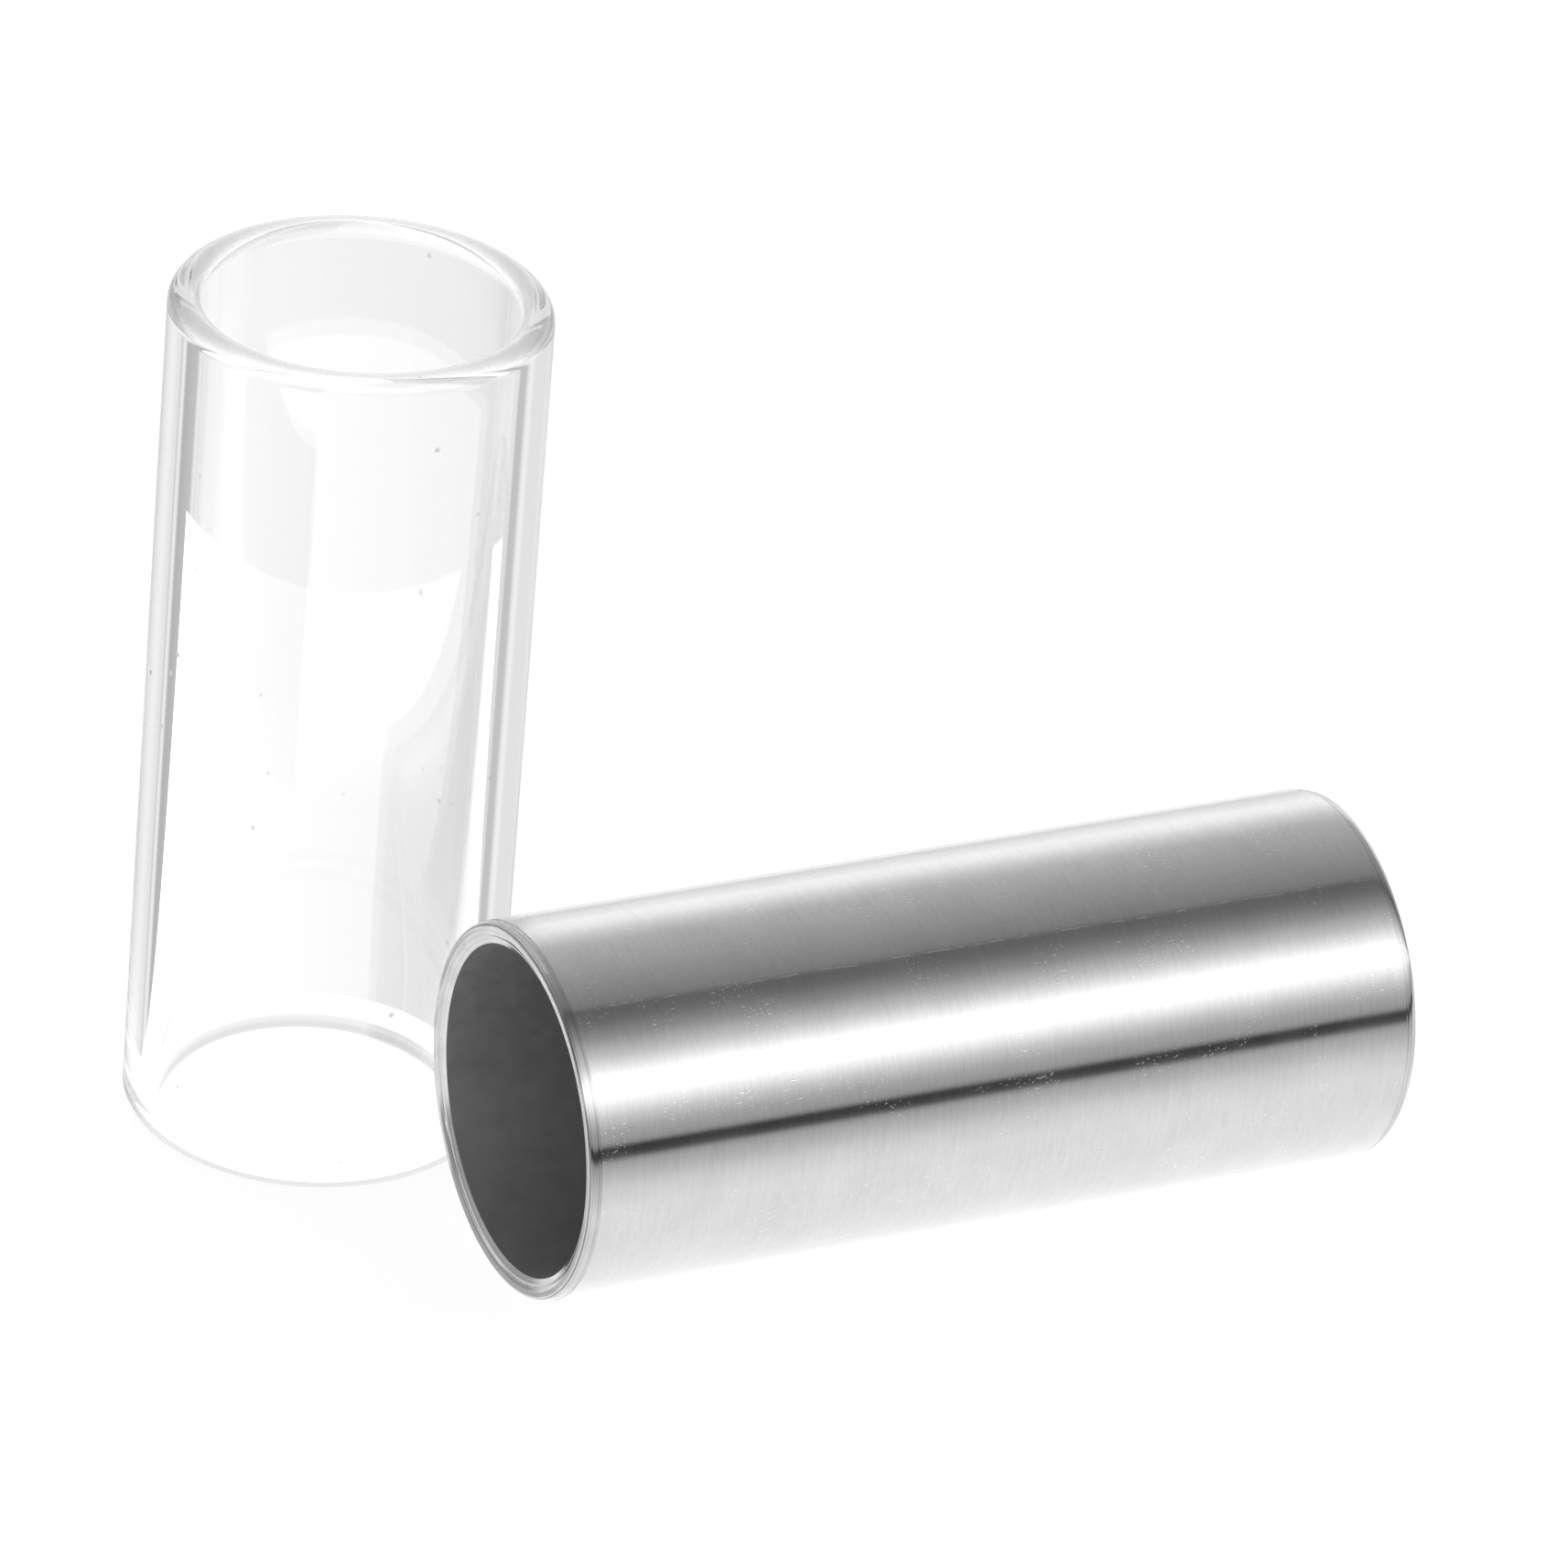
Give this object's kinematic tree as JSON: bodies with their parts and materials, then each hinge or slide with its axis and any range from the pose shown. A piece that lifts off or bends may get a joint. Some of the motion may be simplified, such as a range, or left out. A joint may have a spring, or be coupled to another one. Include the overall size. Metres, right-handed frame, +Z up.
{
  "type": "guitar slide pair",
  "caption": "Open tubes worn on a finger to slide along guitar strings: clear glass standing on its end, with thin brushed steel lying beside it.",
  "frame": {"origin": "on the resting surface, under the middle of the pair", "axes": "+Z up, along the standing glass slide; +X along the lying steel slide, from its end by the glass slide to its far end; the steel slide is on the -Y side"},
  "size_m": [0.0752, 0.0498, 0.06],
  "materials": {
    "clear_glass": "clear, fire-polished ends",
    "brushed_steel": "fine brushing round the tube, turned ends, dark bore"
  },
  "bodies": {
    "steel_slide": {"steel_slide": "brushed_steel"},
    "glass_slide": {"glass_slide": "clear_glass"}
  },
  "joints": [
    {"name": "glass_lift", "type": "slide", "parent": "steel_slide", "child": "glass_slide", "axis": [0, 0, 1], "range_m": [0, 0.065]}
  ]
}
